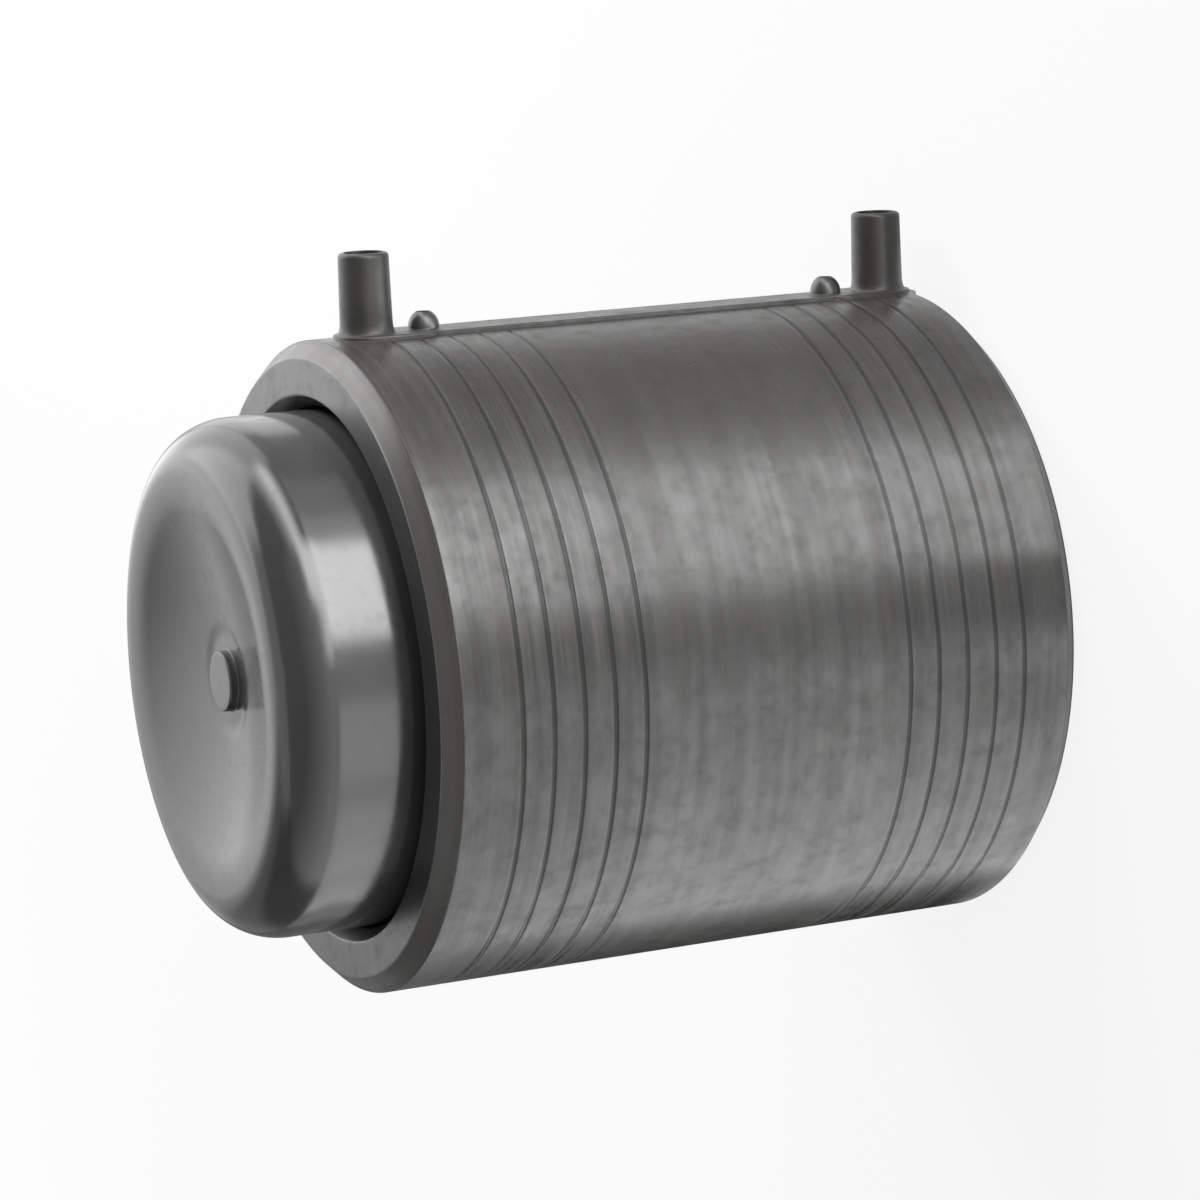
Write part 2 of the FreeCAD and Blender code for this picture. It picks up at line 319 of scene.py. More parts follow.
def turnedPe():
    look = turnedLook
    material, tree, shader = newMaterial("turnedPe")
    vector, radius = place3d(tree)
    height = put(tree, "SeparateXYZ", {0: vector})["Z"]
    lines = cloud(tree, stretched(tree, vector, 9, 9, 760), 1.0, 4.0, 0.6)
    scores = cloud(tree, stretched(tree, vector, 5, 5, 1900), 1.0, 1.0, 0.5)
    broad = cloud(tree, stretched(tree, vector, 13, 13, 240), 1.0, 3.0, 0.55)
    patches = cloud(tree, vector, 110, 3.0, 0.6)
    mottle = cloud(tree, vector, 230, 3.0, 0.58)
    speck = cloud(tree, vector, 1500, 2.0, 0.5)

    def tone(name):
        return grey(look[name], look["warmth"])

    # which part of the fitting a point is on, from its distance to the axis and to mid length
    offMiddle = calc(tree, "ABSOLUTE", minus(tree, height, sleeveLength / 2))
    standsOut = fade(tree, radius, sleeveRadius + 0.1 * mm, sleeveRadius + 0.5 * mm)
    inGroove = fade(tree, radius, sleeveRadius - 0.005 * mm, sleeveRadius - 0.09 * mm)
    outside = fade(tree, radius, sleeveRadius - 2 * mm, sleeveRadius - 0.6 * mm)
    onWall = minus(tree, outside, standsOut)
    groove = times(tree, inGroove, outside)
    ending = fade(tree, offMiddle, sleeveLength / 2 - 4.1 * mm, sleeveLength / 2 - 3.7 * mm)
    chamfer = fade(tree, radius, sleeveRadius - 4.3 * mm, sleeveRadius - 3.9 * mm)
    indicatorReach = (indicatorHeight["cap_side"] - indicatorHeight["pipe_side"]) / 2
    offIndicator = calc(tree, "ABSOLUTE", minus(tree, offMiddle, indicatorReach))
    dome = fade(tree, radius, sleeveRadius + 1.0 * mm, sleeveRadius + 1.4 * mm)
    dome = times(tree, dome, fade(tree, offIndicator, 5.2 * mm, 4.6 * mm))
    zoneStart = sleeveLength / 2 - look["zoneReach"] * mm
    zone = fade(tree, offMiddle, zoneStart - 6 * mm, zoneStart + 4 * mm)
    strength = plus(tree, times(tree, zone, 1 - look["marksElsewhere"]), look["marksElsewhere"])
    marks = times(tree, onWall, strength)

    patchShare = times(tree, fade(tree, patches, 0.42, 0.74), look["patchShare"])
    mottleShare = times(tree, fade(tree, mottle, 0.48, 0.76), look["mottleShare"])
    bandShare = times(tree, fade(tree, broad, 0.5, 0.8), look["bandShare"])
    streakShare = times(tree, fade(tree, lines, 0.48, 0.78), marks)
    scoreShare = times(tree, fade(tree, scores, 0.62, 0.74, 0.0, look["scoreShare"]), marks)
    colour = tint(tree, patchShare, tone("base"), tone("patch"))
    colour = tint(tree, mottleShare, colour, grey(look["patch"]))
    colour = tint(tree, bandShare, colour, tone("streak"))
    colour = tint(tree, streakShare, colour, tone("streak"))
    colour = tint(tree, scoreShare, colour, grey(look["groove"]))
    # painted shade: the grooves are darkened
    colour = tint(tree, groove, colour, tone("groove"))
    # painted shade on the cut end faces, and painted light on the chamfers round them
    endColour = tint(tree, chamfer, tone("endFaceShade"), tone("chamfer"))
    endColour = tint(tree, times(tree, patchShare, look["endPatchShare"]), endColour, tone("patch"))
    colour = tint(tree, ending, colour, endColour)
    edge = put(tree, "NewGeometry", {})["Pointiness"]
    worn = times(tree, fade(tree, edge, 0.53, 0.6), fade(tree, mottle, 0.35, 0.6, 0.1, 0.5))
    colour = tint(tree, worn, colour, grey(look["worn"]))
    tree.links.new(colour, shader.inputs["Base Color"])

    rough = plus(tree, fade(tree, mottle, 0.46, 0.74, -0.01, 0.06), look["roughness"])
    rough = plus(tree, rough, fade(tree, patches, 0.3, 0.75, -0.03, 0.05))
    rough = plus(tree, rough, times(tree, fade(tree, lines, 0.3, 0.75, -0.05, 0.1), marks))
    rough = plus(tree, rough, times(tree, standsOut, look["raisedRoughness"]))
    rough = minus(tree, rough, times(tree, dome, look["domeRoughness"]))
    tree.links.new(rough, shader.inputs["Roughness"])

    gloss = times(tree, fade(tree, mottle, 0.42, 0.74, 1.04, 0.86), look["gloss"])
    gloss = times(tree, gloss, fade(tree, patches, 0.35, 0.7, 1.05, 0.92))
    gloss = times(tree, gloss, fade(tree, broad, 0.3, 0.72, 1.15, 0.82))
    gloss = times(tree, gloss, minus(tree, 1.0, times(tree, zone, look["zoneGloss"])))
    gloss = times(tree, gloss, minus(tree, 1.0, times(tree, groove, look["grooveGloss"])))
    gloss = plus(tree, gloss, times(tree, ending, look["endGloss"]))
    gloss = minus(tree, gloss, times(tree, standsOut, look["raisedGloss"]))
    gloss = plus(tree, gloss, times(tree, dome, look["domeGloss"]))
    tree.links.new(gloss, shader.inputs["Specular IOR Level"])
    shader.inputs["IOR"].default_value = plasticIor

    lineRelief, scoreRelief = times(tree, lines, marks), times(tree, scores, marks)
    layers = [(lineRelief, 0.9), (scoreRelief, 0.25), (patches, 0.7), (mottle, 0.3), (speck, 0.08)]
    bump(tree, shader, addUp(tree, layers), look["bumpDepth"])
    return material


mouldedLook = {
    "base": 0.046,
    "pale": 0.058,
    "dark": 0.032,
    "darkShare": 0.5,
    "roughness": 0.15,
    "dishRoughness": 0.075,   # added inside the rim
    "gloss": 0.8,
    "bumpDepth": 0.02,        # mm
}


def mouldedPe():
    look = mouldedLook
    material, tree, shader = newMaterial("mouldedPe")
    vector, radius = place3d(tree)
    flow = cloud(tree, stretched(tree, vector, 30, 30, 55), 1.0, 3.0, 0.5)
    rings = cloud(tree, stretched(tree, vector, 8, 8, 520), 1.0, 3.0, 0.5)
    drag = cloud(tree, stretched(tree, vector, 260, 260, 26), 1.0, 2.0, 0.5)
    fine = cloud(tree, vector, 340, 3.0, 0.55)
    scuff = fade(tree, cloud(tree, vector, 62, 3.0, 0.6), 0.6, 0.68)
    inDish = fade(tree, radius, capHigh.x - 6 * mm, capHigh.x - 14 * mm)

    darkShare = times(tree, fade(tree, fine, 0.5, 0.8), look["darkShare"])
    colour = tint(tree, fade(tree, flow, 0.4, 0.75), grey(look["base"]), grey(look["pale"]))
    colour = tint(tree, darkShare, colour, grey(look["dark"]))
    tree.links.new(colour, shader.inputs["Base Color"])
    rough = plus(tree, look["roughness"], fade(tree, flow, 0.3, 0.8, -0.02, 0.06))
    rough = plus(tree, rough, fade(tree, fine, 0.4, 0.8, -0.01, 0.05))
    rough = plus(tree, rough, times(tree, inDish, look["dishRoughness"]))
    tree.links.new(rough, shader.inputs["Roughness"])
    shader.inputs["IOR"].default_value = plasticIor
    shader.inputs["Specular IOR Level"].default_value = look["gloss"]
    layers = [(flow, 0.9), (fine, 0.15), (scuff, 0.35), (rings, 0.12), (drag, 0.2)]
    bump(tree, shader, addUp(tree, layers), look["bumpDepth"])
    return material


wireLook = {
    "copper": (0.64, 0.36, 0.19, 1),
    "stain": (0.4, 0.2, 0.1, 1),
    "roughLow": 0.28,
    "roughHigh": 0.46,
    "bumpDepth": 0.01,        # mm
}


def drawnWire():
    look = wireLook
    material, tree, shader = newMaterial("drawnWire")
    vector = place3d(tree)[0]
    stain = cloud(tree, vector, 180, 4.0, 0.6)
    drawn = cloud(tree, stretched(tree, vector, 120, 120, 3200), 1.0, 2.0, 0.5)
    colour = tint(tree, fade(tree, stain, 0.35, 0.7), look["copper"], look["stain"])
    rough = fade(tree, drawn, 0.3, 0.7, look["roughLow"], look["roughHigh"])
    tree.links.new(colour, shader.inputs["Base Color"])
    tree.links.new(rough, shader.inputs["Roughness"])
    shader.inputs["Metallic"].default_value = 1.0
    bump(tree, shader, drawn, look["bumpDepth"])
    return material


brassLook = {
    "brass": (0.78, 0.6, 0.29, 1),
    "film": (0.55, 0.38, 0.17, 1),
    "roughLow": 0.18,
    "roughHigh": 0.34,
    "bumpDepth": 0.008,       # mm
}


def turnedBrass():
    look = brassLook
    material, tree, shader = newMaterial("turnedBrass")
    vector = place3d(tree)[0]
    rings = cloud(tree, stretched(tree, vector, 5200, 60, 60), 1.0, 2.0, 0.5)
    film = cloud(tree, vector, 420, 3.0, 0.55)
    colour = tint(tree, fade(tree, film, 0.4, 0.75), look["brass"], look["film"])
    rough = fade(tree, rings, 0.3, 0.7, look["roughLow"], look["roughHigh"])
    tree.links.new(colour, shader.inputs["Base Color"])
    tree.links.new(rough, shader.inputs["Roughness"])
    shader.inputs["Metallic"].default_value = 1.0
    bump(tree, shader, rings, look["bumpDepth"])
    return material


indicatorLook = {
    "base": 0.04,
    "pale": 0.055,
    "roughLow": 0.2,
    "roughHigh": 0.32,
    "bumpDepth": 0.01,        # mm
}


def indicatorPe():
    look = indicatorLook
    material, tree, shader = newMaterial("indicatorPe")
    vector = place3d(tree)[0]
    fine = cloud(tree, vector, 900, 3.0, 0.5)
    colour = tint(tree, fade(tree, fine, 0.4, 0.7), grey(look["base"]), grey(look["pale"]))
    rough = fade(tree, fine, 0.3, 0.7, look["roughLow"], look["roughHigh"])
    tree.links.new(colour, shader.inputs["Base Color"])
    tree.links.new(rough, shader.inputs["Roughness"])
    shader.inputs["IOR"].default_value = plasticIor
    bump(tree, shader, fine, look["bumpDepth"])
    return material


finish = {
    "turnedPe": turnedPe(),
    "mouldedPe": mouldedPe(),
    "drawnWire": drawnWire(),
    "turnedBrass": turnedBrass(),
    "indicatorPe": indicatorPe(),
}
print("finishes made:", len(finish))


# coupler body: the turned sleeve with its pads, shrouds, collars and label land. Sizes in mm

sleeve = {
    "chamfer": 4.0,
    "leadInLength": 4.0,
    "leadInDepth": 3.0,
    "stopThickness": 3.0,
    "stopHeight": 4.0,
    "grooveCount": 5,
    "groovePitch": 7.7,
    "grooveFromOpenEnd": 16.1,
    "grooveFromCapEnd": 18.6,
    "grooveWidth": 1.45,
    "grooveDepth": 0.15,
    "edgeRounding": 0.35,
    "lipRounding": 0.36,      # at the lips and the floor of each groove
    "cornerSteps": 3,
    "guard": 0.4,             # see withGuards
    "columns": 330,
    "fineHalfAngle": 8.0,     # degrees to each side of the terminals with narrow columns
    "fineStep": 0.4,
}


def sleeveAngles():
    half, step = sleeve["fineHalfAngle"], sleeve["fineStep"]
    fine = int(round(2 * half / step))
    coarse = sleeve["columns"] - fine
    degrees = [-half + step * i for i in range(fine)]
    degrees += [half + (360 - 2 * half) * i / coarse for i in range(coarse)]
    return [math.radians(d) for d in degrees]


def sleevePath():
    s = sleeve
    bore, outer, length = boreRadius / mm, sleeveRadius / mm, sleeveLength / mm
    soft, lip = s["edgeRounding"], s["lipRounding"]
    mouth = bore + s["leadInDepth"]
    rib = bore - s["stopHeight"]
    stopLow = (length - s["stopThickness"]) / 2
    stopHigh = stopLow + s["stopThickness"]
    corners = [
        (bore, stopHigh, soft),
        (rib, stopHigh, soft),
        (rib, stopLow, soft),
        (bore, stopLow, soft),
        (bore, s["leadInLength"], soft),
        (mouth, 0, soft),
        (outer - s["chamfer"], 0, soft),
        (outer, s["chamfer"], soft),
    ]
    steps = [i * s["groovePitch"] for i in range(s["grooveCount"])]
    heights = [s["grooveFromOpenEnd"] + d for d in steps]
    heights += [length - s["grooveFromCapEnd"] - d for d in reversed(steps)]
    half = s["grooveWidth"] / 2
    for z in heights:
        corners += [
            (outer, z - half, lip),
            (outer - s["grooveDepth"], z - half / 2, lip),
            (outer - s["grooveDepth"], z + half / 2, lip),
            (outer, z + half, lip),
        ]
    corners += [
        (outer, length - s["chamfer"], soft),
        (outer - s["chamfer"], length, soft),
        (mouth, length, soft),
        (bore, length - s["leadInLength"], soft),
    ]
    return withGuards(softPath(corners, s["cornerSteps"], closed=True), s["guard"], closed=True)


raised = {
    "rootDepth": 2.5,         # how deep each raised form reaches into the sleeve
    "padWidth": 16.4,
    "padHeight": 0.9,
    "padRounding": 0.6,
    "padOverlap": 1.0,
    "landWidth": 13.5,
    "landHeight": 0.8,
    "landRounding": 0.3,
    "landCorner": 0.6,
    "landCornerSteps": 3,
    "padCornerSteps": 20,
    "footReach": 1.5,         # small fillet at the foot of the pads and the land
    "footRise": 0.26,
    "footSink": 0.03,         # how deep the fillet's outer line lies in the sleeve
    "sideSteps": 4,           # of the fillet, and of the rounding on top
    "sink": 0.12,             # how deep the feet of shrouds and collars go into the pads
    "depthInPad": 2,          # how far their lower ends reach below those feet
}


def roundedOutline(halfWidth, low, high, radius, steps):
    # a loop in (y, z) with rounded corners, the same number of points for any size
    radius = min(radius, halfWidth)
    centres = [
        (halfWidth - radius, high - radius, 0),
        (radius - halfWidth, high - radius, 90),
        (radius - halfWidth, low + radius, 180),
        (halfWidth - radius, low + radius, 270),
    ]
    loop = []
    for y, z, start in centres:
        for i in range(steps + 1):
            a = math.radians(start + 90 * i / steps)
            loop.append((y + radius * math.cos(a), z + radius * math.sin(a)))
    return loop


def raisedPlate(name, halfWidth, low, high, cornerRadius, height, rounding, steps):
    # a plate on the sleeve: a foot that follows the sleeve's curve, and a flat softly edged top
    outer = sleeveRadius / mm
    top = outer + height
    reach, rise, sink = raised["footReach"], raised["footRise"], raised["footSink"]
    stages = [i / raised["sideSteps"] for i in range(raised["sideSteps"] + 1)]
    profile = [(reach, -raised["rootDepth"], True)]
    for t in stages:
        profile.append((reach * (1 - t) ** 2, rise * t ** 2 - sink * (1 - t), True))
    for t in stages:
        a = math.pi / 2 * t
        profile.append((rounding * (math.cos(a) - 1), top - rounding * (1 - math.sin(a)), False))
    rings = []
    for grow, x, onSleeve in profile:
        loop = roundedOutline(halfWidth + grow, low - grow, high + grow, cornerRadius + grow, steps)
        ring = []
        for y, z in loop:
            place = math.sqrt(outer ** 2 - y ** 2) + x if onSleeve else x
            ring.append(Vector((place * mm, y * mm, z * mm)))
        rings.append(ring)
    return skin(name, rings, capEnds=True)


shroud = {
    "rimDiameter": 12.2,
    "footDiameter": 12.8,
    "boreDiameter": 9.5,
    "footReach": 1.15,        # the foot spreads a little over the pad
    "footRise": 3.2,
    "footDraft": 0.05,        # how much narrower the wall is at the top of the foot
    "rimRounding": 1.1,
    "mouthRounding": 0.12,
    "floorRounding": 0.3,
    "guard": 0.4,
    "columns": 96,
}


def plateTop():
    # height, in mm from the axis, at which shrouds and collars begin
    return sleeveRadius / mm + raised["padHeight"] - raised["sink"]


def shroudPiece(side):
    s = shroud
    foot, rim, bore = s["footDiameter"] / 2, s["rimDiameter"] / 2, s["boreDiameter"] / 2
    base = plateTop()
    low = base - raised["depthInPad"]
    spread = foot + s["footReach"]
    top, floor = rimX / mm, shroudFloorX / mm
    soft, mouth, bottom = s["rimRounding"], s["mouthRounding"], s["floorRounding"]
    path = [Vector((0, low)), Vector((spread, low))]
    path += bend((spread, base), (foot, base), (foot - s["footDraft"], base + s["footRise"]), 12)
    path += ellipsePoints((rim - soft, top - soft), soft, soft, 0, 90, 10)
    path += bend((bore + mouth, top), (bore, top), (bore, top - mouth), 3)
    path += bend((bore, floor + bottom), (bore, floor), (bore - bottom, floor), 4)
    path.append(Vector((0, floor)))
    rings = turnedRings(withGuards([p * mm for p in path], s["guard"]), evenAngles(s["columns"]))
    return skin("shroud_" + side, rings, place=alongX(terminalHeight[side]))


collar = {
    "diameter": 7.6,
    "rimHeight": 5.05,        # of the hole's rim above the sleeve; the indicator stands a little proud
    "footReach": 0.8,
    "footRise": 0.5,
    "holeClearance": 0.05,
    "holeMouth": 0.12,
    "cutAbove": 1.5,          # how far the tool that cuts the hole stands out of the rim
    "columns": 80,
}


def collarPiece(side):
    c = collar
    radius, rise = c["diameter"] / 2, c["footRise"]
    spread = radius + c["footReach"]
    base = plateTop()
    low = base - raised["depthInPad"]
    rim = sleeveRadius / mm + c["rimHeight"]
    mouth = indicatorRadius[side] / mm + c["holeClearance"] + c["holeMouth"]
    turn = math.degrees(math.acos(mouth / radius))
    domeHeight = (rim - base - rise) / math.sin(math.radians(turn))
    path = [Vector((0, low)), Vector((spread, low))]
    path += bend((spread, base), (radius, base), (radius, base + rise), 8)
    path += ellipsePoints((0, base + rise), radius, domeHeight, 0, turn, 20)[1:]
    path.append(Vector((0, rim)))
    rings = turnedRings([p * mm for p in path], evenAngles(c["columns"]))
    return skin("collar_" + side, rings, place=alongX(indicatorHeight[side]))


def indicatorHole(side):
    # the tool that cuts the indicator's hole, wider at its mouth
    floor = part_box("indicator_pin_" + side)[0].x / mm
    radius = indicatorRadius[side] / mm + collar["holeClearance"]
    rim = sleeveRadius / mm + collar["rimHeight"]
    mouth, top = collar["holeMouth"], rim + collar["cutAbove"]
    wide = radius + 2 * mouth
    path = [(0, floor), (radius, floor), (radius, rim - mouth)]
    path += [(wide, rim + mouth), (wide, top), (0, top)]
    points = [Vector((r * mm, x * mm)) for r, x in path]
    rings = turnedRings(points, evenAngles(collar["columns"]))
    return skin("indicatorHole", rings, place=alongX(indicatorHeight[side]))


def couplerBody():
    r = raised
    body = skin("coupler", turnedRings(sleevePath(), sleeveAngles()), closed=True)
    added = []
    for side in sides:
        z, indicatorZ = terminalHeight[side] / mm, indicatorHeight[side] / mm
        inward = 1 if indicatorZ > z else -1
        half = r["padWidth"] / 2
        far = indicatorZ + inward * (collar["diameter"] / 2 + r["padOverlap"])
        low, high = min(z - inward * half, far), max(z - inward * half, far)
        steps = r["padCornerSteps"]
        pad = raisedPlate("pad_" + side, half, low, high, half, r["padHeight"], r["padRounding"], steps)
        added.append(combine(pad, [shroudPiece(side), collarPiece(side)], "UNION"))
    low, high = sorted(z / mm for z in indicatorHeight.values())
    half, corner, steps = r["landWidth"] / 2, r["landCorner"], r["landCornerSteps"]
    land = raisedPlate("land", half, low, high, corner, r["landHeight"], r["landRounding"], steps)
    plates = combine(added[0], [added[1], land], "UNION")
    combine(body, [plates], "UNION")
    combine(body, [indicatorHole(side) for side in sides], "DIFFERENCE")
    return finishPiece(body, "fitting", finish["turnedPe"], ["coupler_body"])


couplerBody()


# spigot end cap. Sizes in mm

endCap = {
    "wall": 11.4,
    "edgeRadial": 11.8,       # the rounding from the spigot to the crest of the rim
    "edgeAxial": 14.0,
    "dishDepth": 8.1,
    "rimArc": 30.0,           # radius of the arc from the crest of the rim into the dish
    "faceThickness": 13.0,
    "innerRounding": 14.0,
    "spigotChamfer": 1.5,
    "gateDiameter": 14.6,
    "gateHeight": 2.5,
    "gateRounding": 0.5,
    "gateFillet": 0.4,
    "gateDip": 0.25,          # a shallow ring sunk in the dish round the gate stub
    "gateDipWidth": 7.0,
    "edgeSteps": 36,
    "dishSteps": 40,
    "guard": 0.5,
    "columns": 300,
}


def endCapPath():
    # from the middle of the ceiling inside, round the foot, to the middle of the gate stub
    c = endCap
    low, rimZ = capLow.z / mm, capHigh.z / mm
    outer = capHigh.x / mm
    inner = outer - c["wall"]
    crest = outer - c["edgeRadial"]
    floorZ = rimZ - c["dishDepth"]
    ceiling = floorZ - c["faceThickness"]
    tilt = 2 * math.atan(c["dishDepth"] / crest)
    arc = c["rimArc"]
    sphere = crest / math.sin(tilt) - arc
    dishEdge = sphere * math.sin(tilt)
    gate = c["gateDiameter"] / 2
    fillet = c["gateFillet"]

    def dishZ(r):
        away = (r - gate - fillet) / c["gateDipWidth"]
        dip = c["gateDip"] * math.sin(math.pi * min(1, max(0, away))) ** 2
        return floorZ + sphere - math.sqrt(sphere ** 2 - r ** 2) - dip

    gateTop = floorZ + c["gateHeight"]
    chamfer = c["spigotChamfer"]
    hollow = c["innerRounding"]
    path = [Vector((0, ceiling))]
    path += ellipsePoints((inner - hollow, ceiling - hollow), hollow, hollow, 90, 0, 16)
    path += [Vector((inner, low)), Vector((outer - chamfer, low)), Vector((outer, low + chamfer))]
    edge = (crest, rimZ - c["edgeAxial"])
    path += ellipsePoints(edge, c["edgeRadial"], c["edgeAxial"], 0, 90, c["edgeSteps"])
    path += ellipsePoints((crest, rimZ - arc), arc, arc, 90, 90 + math.degrees(tilt), 12)[1:]
    for i in range(1, c["dishSteps"] + 1):
        r = dishEdge + (gate + fillet - dishEdge) * i / c["dishSteps"]
        path.append(Vector((r, dishZ(r))))
    foot = dishZ(gate)
    path += bend(path[-1], (gate, foot), (gate, foot + fillet), 5)[1:]
    soft = c["gateRounding"]
    path += bend((gate, gateTop - soft), (gate, gateTop), (gate - soft, gateTop), 4)
    path += [Vector((gate * share, gateTop)) for share in (0.8, 0.5, 0.2, 0)]
    return withGuards([p * mm for p in path], c["guard"])


def endCapPiece():
    rings = turnedRings(endCapPath(), evenAngles(endCap["columns"]))
    piece = skin("spigot_cap", rings)
    return finishPiece(piece, "fitting", finish["mouldedPe"], ["end_cap"])


endCapPiece()


# heating wire. Sizes in mm

wire = {
    "diameter": 1.0,
    "proud": 0.22,            # how far it shows out of the bore's wall
    "turns": 10,
    "pitch": 3.4,
    "bend": 3.0,              # from the coil into the lead that rises to a pin
    "bendSteps": 6,
    "stepsPerTurn": 96,
    "sides": 10,
    "sharpAngle": 60,
    "tailAboveBore": 9.4,
}


def wireLine():
    w = wire
    radius = boreRadius / mm + w["diameter"] / 2 - w["proud"]
    angle = math.atan(w["bend"] / radius)
    coilRise = w["pitch"] * w["turns"]
    zLow, zHigh = terminalHeight["pipe_side"] / mm, terminalHeight["cap_side"] / mm
    outer = radius + w["bend"]
    slope = w["pitch"] / (fullTurn * radius)
    startZ, endZ = zLow + w["bend"] * slope, zHigh - w["bend"] * slope
    bridge = endZ - startZ - 2 * coilRise
    tailX = boreRadius / mm + w["tailAboveBore"]

    def onCoil(a, z):
        return Vector((radius * math.cos(a), radius * math.sin(a), z))

    points = [Vector((tailX, 0, zLow))]
    points += bend((outer, 0, zLow), (radius, 0, zLow), onCoil(angle, startZ), w["bendSteps"])
    bridgeTurns = 1 - 2 * angle / fullTurn
    stretches = [(w["turns"], coilRise), (bridgeTurns, bridge), (w["turns"], coilRise)]
    a, z = angle, startZ
    for turns, rise in stretches:
        steps = int(round(w["stepsPerTurn"] * turns))
        for i in range(1, steps + 1):
            points.append(onCoil(a + fullTurn * turns * i / steps, z + rise * i / steps))
        a += fullTurn * turns
        z += rise
    points += bend(points[-1], (radius, 0, zHigh), (outer, 0, zHigh), w["bendSteps"])[1:]
    points.append(Vector((tailX, 0, zHigh)))
    return points


def tubeRings(points, radius, sides):
    # round sections square to the line
    rings = []
    last = len(points) - 1
    side = Vector((0, 0, 1))
    for i, point in enumerate(points):
        ahead = (points[min(i + 1, last)] - points[max(i - 1, 0)]).normalized()
        side = (side - ahead * side.dot(ahead)).normalized()
        other = ahead.cross(side)
        ring = []
        for k in range(sides):
            a = fullTurn * k / sides
            ring.append((point + (side * math.cos(a) + other * math.sin(a)) * radius) * mm)
        rings.append(ring)
    return rings


def wirePiece():
    rings = tubeRings(wireLine(), wire["diameter"] / 2, wire["sides"])
    piece = skin("wire_coils", rings, capEnds=True)
    nodes, sharp = ["heating_wire"], wire["sharpAngle"]
    return finishPiece(piece, "fitting", finish["drawnWire"], nodes, sharp)


wirePiece()


# contact pins and fusion indicators. Sizes in mm

contactPin = {
    "diameter": 4.0,
    "tipChamfer": 0.7,
    "rootDiameter": 4.8,
    "flangeDiameter": 7.0,
    "flangeThickness": 1.6,
    "flangeDepth": 2.0,
    "tailDiameter": 3.0,
    "rounding": 0.25,
    "innerRounding": 0.1,
    "cornerSteps": 4,
    "guard": 0.25,
    "columns": 64,
}


def contactPinPiece(side):
    p = contactPin
    low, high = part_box("terminal_pin_" + side)
    tail, tip = low.x / mm, high.x / mm
    floor = shroudFloorX / mm
    flangeTop = floor - p["flangeDepth"]
    flangeLow = flangeTop - p["flangeThickness"]
    shank, root = p["diameter"] / 2, p["rootDiameter"] / 2
    thin, wide = p["tailDiameter"] / 2, p["flangeDiameter"] / 2
    soft, inner = p["rounding"], p["innerRounding"]
    corners = [
        (0, tail, 0),
        (thin, tail, soft),
        (thin, flangeLow, inner),
        (wide, flangeLow, soft),
        (wide, flangeTop, soft),
        (root, flangeTop, inner),
        (root, floor, inner),
        (shank, floor, inner),
        (shank, tip - p["tipChamfer"], soft),
        (shank - p["tipChamfer"], tip, soft),
        (0, tip, 0),
    ]
    path = withGuards(softPath(corners, p["cornerSteps"]), p["guard"])
    rings = turnedRings(path, evenAngles(p["columns"]))
    piece = skin("contact_pin_" + side, rings, place=alongX(terminalHeight[side]))
    return finishPiece(piece, "fitting", finish["turnedBrass"], ["terminal_pin_" + side])


indicatorPin = {
    "tipRounding": 0.7,
    "footRounding": 0.2,
    "cornerSteps": 6,
    "guard": 0.2,
    "columns": 64,
}


def indicatorPinPiece(side):
    p = indicatorPin
    node = "indicator_pin_" + side
    low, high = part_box(node)
    radius, foot, tip = indicatorRadius[side] / mm, low.x / mm, high.x / mm
    corners = [
        (0, foot, 0),
        (radius, foot, p["footRounding"]),
        (radius, tip, p["tipRounding"]),
        (0, tip, 0),
    ]
    path = withGuards(softPath(corners, p["cornerSteps"]), p["guard"])
    rings = turnedRings(path, evenAngles(p["columns"]))
    piece = skin("fusion_indicator_" + side, rings, place=alongX(indicatorHeight[side]))
    return finishPiece(piece, "indicator_" + side, finish["indicatorPe"], [node])


for side in sides:
    contactPinPiece(side)
    indicatorPinPiece(side)


# floor, light and camera

stage = {
    "floorHalf": 4.0,         # metres
    "floorGrey": 0.82,
    "floorWhite": 0.87,       # share of plain white that the camera sees by the fitting
    "whiteFrom": 0.35,        # metres from the fitting, where the floor begins to turn all white
    "whiteTo": 1.3,
    "skyLight": 0.32,
    "lampAim": (0, 0, 0.09),
}


def flatMesh(name, corners):
    bm = bmesh.new()
    bm.faces.new([bm.verts.new(p) for p in corners])
    mesh = bpy.data.meshes.new(name)
    bm.to_mesh(mesh)
    bm.free()
    made = bpy.data.objects.new(name, mesh)
    bpy.context.scene.collection.objects.link(made)
    return made


def floorPiece():
    half = stage["floorHalf"]
    corners = [(-half, -half, 0), (half, -half, 0), (half, half, 0), (-half, half, 0)]
    floor = flatMesh("floor", corners)
    material, tree, shader = newMaterial("floorPaper")
    vector, distance = place3d(tree)
    grain = cloud(tree, vector, 300, 3.0, 0.5)
    tone = tint(tree, grain, grey(stage["floorGrey"]), grey(stage["floorGrey"] * 1.03))
    tree.links.new(tone, shader.inputs["Base Color"])
    shader.inputs["Roughness"].default_value = 0.9
    shader.inputs["Specular IOR Level"].default_value = 0.0
    glow = put(tree, "Emission", {"Color": (1, 1, 1, 1), "Strength": 1.0})[0]
    seen = put(tree, "LightPath", {})["Is Camera Ray"]
    white = fade(tree, distance, stage["whiteFrom"], stage["whiteTo"], stage["floorWhite"], 1.0)
    share = times(tree, seen, white)
    mixed = put(tree, "MixShader", {0: share, 1: shader.outputs[0], 2: glow})[0]
    tree.links.new(mixed, tree.nodes["Material Output"].inputs["Surface"])
    floor.data.materials.append(material)


